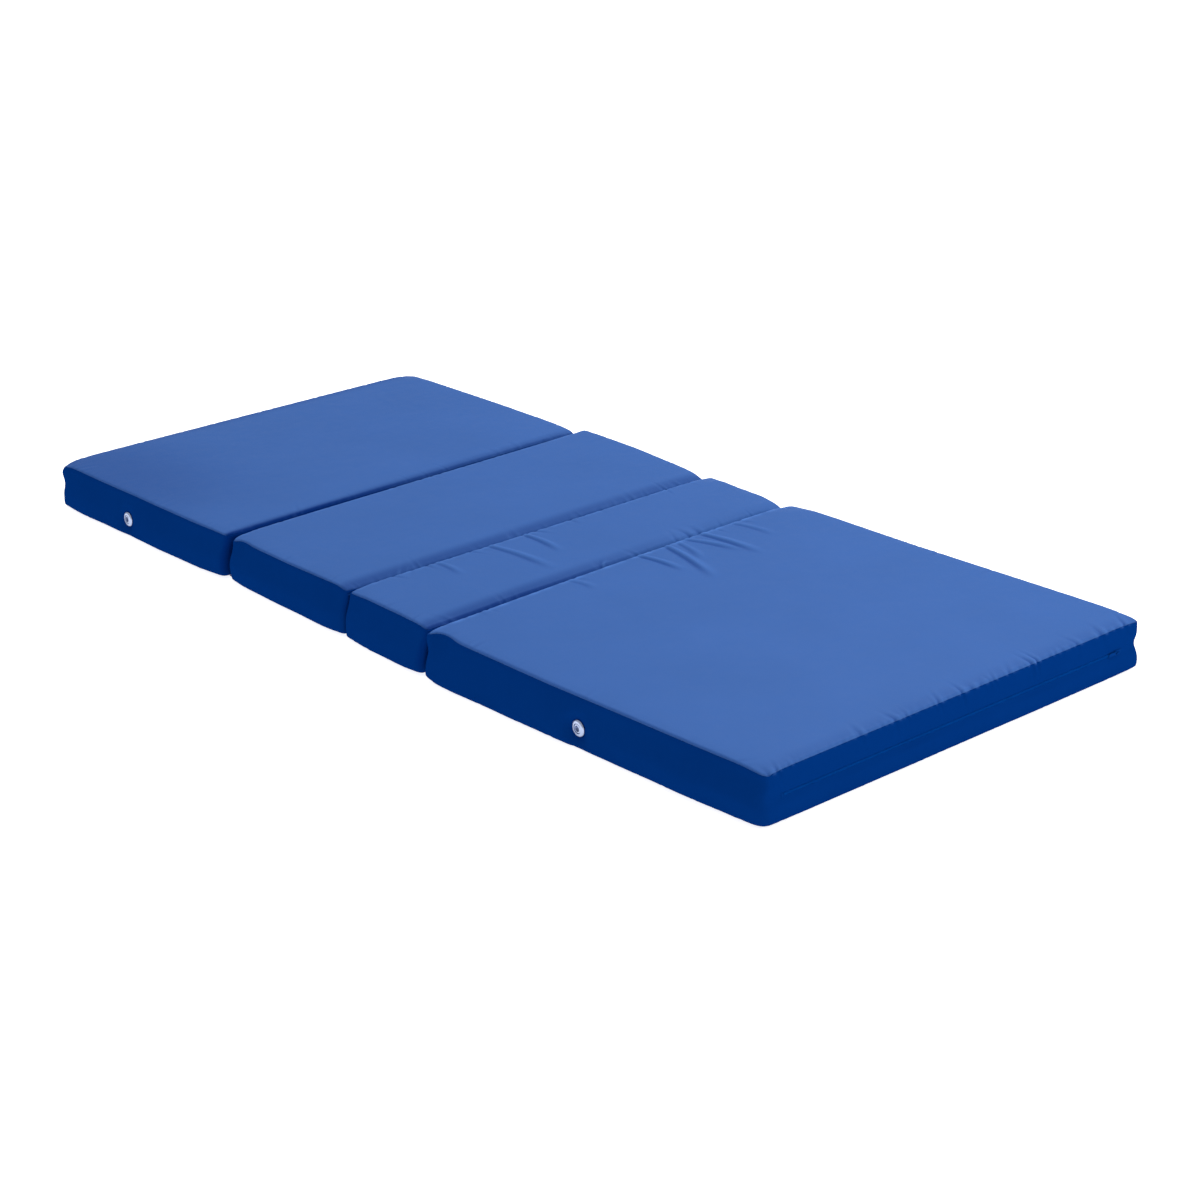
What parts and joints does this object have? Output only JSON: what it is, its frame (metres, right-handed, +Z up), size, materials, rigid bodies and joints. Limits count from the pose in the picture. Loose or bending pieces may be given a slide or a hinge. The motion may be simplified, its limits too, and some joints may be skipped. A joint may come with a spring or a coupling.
{
  "type": "folding mat",
  "caption": "Foam mat in a wipe-clean fabric cover, cut across into hinged sections that fold up, with zipped sides and small round side ventilators.",
  "frame": {"origin": "middle of the mat's footprint, on the surface it lies on, with the mat opened out flat", "axes": "+X along the mat from section 1 to section 4, +Y towards the side without ventilators, +Z up"},
  "size_m": [1.9466, 0.8466, 0.087],
  "materials": {
    "cover_fabric": "satin",
    "base_fabric": "satin",
    "hinge_fabric": "satin",
    "foam": "matte",
    "zip_tape": "matte",
    "zip_coil": "satin",
    "zip_enamel": "satin",
    "nickel": "gloss"
  },
  "bodies": {
    "section_1": {"section_1_foam_core": "foam", "section_1_top_sheet": "cover_fabric", "section_1_side_band": "cover_fabric", "section_1_bottom_sheet": "base_fabric", "zip_1_tape": "zip_tape", "zip_1_coil": "zip_coil", "zip_1_closed_stop": "zip_enamel", "zip_1_open_stop": "zip_enamel", "ventilator_1_flange": "nickel", "ventilator_1_washer": "nickel", "ventilator_1_screen": "nickel", "hinge_strip_12": "hinge_fabric"},
    "section_2": {"section_2_foam_core": "foam", "section_2_top_sheet": "cover_fabric", "section_2_side_band": "cover_fabric", "section_2_bottom_sheet": "base_fabric", "zip_2_tape": "zip_tape", "zip_2_coil": "zip_coil", "zip_2_closed_stop": "zip_enamel", "zip_2_open_stop": "zip_enamel", "hinge_strip_23": "hinge_fabric"},
    "section_3": {"section_3_foam_core": "foam", "section_3_top_sheet": "cover_fabric", "section_3_side_band": "cover_fabric", "section_3_bottom_sheet": "base_fabric", "zip_3_tape": "zip_tape", "zip_3_coil": "zip_coil", "zip_3_closed_stop": "zip_enamel", "zip_3_open_stop": "zip_enamel", "hinge_strip_34": "hinge_fabric"},
    "section_4": {"section_4_foam_core": "foam", "section_4_top_sheet": "cover_fabric", "section_4_side_band": "cover_fabric", "section_4_bottom_sheet": "base_fabric", "zip_4_tape": "zip_tape", "zip_4_coil": "zip_coil", "zip_4_closed_stop": "zip_enamel", "zip_4_open_stop": "zip_enamel", "ventilator_4_flange": "nickel", "ventilator_4_washer": "nickel", "ventilator_4_screen": "nickel"},
    "zip_1_slider": {"zip_1_slider": "zip_enamel"},
    "zip_1_pull": {"zip_1_pull": "zip_enamel"},
    "zip_2_slider": {"zip_2_slider": "zip_enamel"},
    "zip_2_pull": {"zip_2_pull": "zip_enamel"},
    "zip_3_slider": {"zip_3_slider": "zip_enamel"},
    "zip_3_pull": {"zip_3_pull": "zip_enamel"},
    "zip_4_slider": {"zip_4_slider": "zip_enamel"},
    "zip_4_pull": {"zip_4_pull": "zip_enamel"}
  },
  "joints": [
    {"name": "fold_34", "type": "hinge", "parent": "section_4", "child": "section_3", "pos_m": [0.2, 0, 0.0905], "axis": [0, 1, 0], "range_deg": [0, 179.9], "deforming": ["hinge_strip_34"]},
    {"name": "fold_23", "type": "hinge", "parent": "section_3", "child": "section_2", "pos_m": [-0.027, 0, 0.0905], "axis": [0, -1, 0], "range_deg": [-179.9, 0], "deforming": ["hinge_strip_23"]},
    {"name": "fold_12", "type": "hinge", "parent": "section_2", "child": "section_1", "pos_m": [-0.398, 0, -0.002], "axis": [0, -1, 0], "range_deg": [0, 179.9], "deforming": ["hinge_strip_12"]},
    {"name": "zip_1_slide", "type": "slide", "parent": "section_1", "child": "zip_1_slider", "axis": [0, -1, 0], "range_m": [0, 0.728]},
    {"name": "zip_1_pull_turn", "type": "hinge", "parent": "zip_1_slider", "child": "zip_1_pull", "pos_m": [-0.97205, 0.3644, 0.0435], "axis": [0, 0, -1], "range_deg": [0, 175]},
    {"name": "zip_2_slide", "type": "slide", "parent": "section_2", "child": "zip_2_slider", "axis": [1, 0, 0], "range_m": [0, 0.249]},
    {"name": "zip_2_pull_turn", "type": "hinge", "parent": "zip_2_slider", "child": "zip_2_pull", "pos_m": [-0.3354, 0.42205, 0.0435], "axis": [0, 0, 1], "range_deg": [0, 175]},
    {"name": "zip_3_slide", "type": "slide", "parent": "section_3", "child": "zip_3_slider", "axis": [1, 0, 0], "range_m": [0, 0.107]},
    {"name": "zip_3_pull_turn", "type": "hinge", "parent": "zip_3_slider", "child": "zip_3_pull", "pos_m": [0.0316, 0.42205, 0.0435], "axis": [0, 0, 1], "range_deg": [0, 175]},
    {"name": "zip_4_slide", "type": "slide", "parent": "section_4", "child": "zip_4_slider", "axis": [0, -1, 0], "range_m": [0, 0.728]},
    {"name": "zip_4_pull_turn", "type": "hinge", "parent": "zip_4_slider", "child": "zip_4_pull", "pos_m": [0.97205, 0.3644, 0.0435], "axis": [0, 0, 1], "range_deg": [0, 175]}
  ]
}
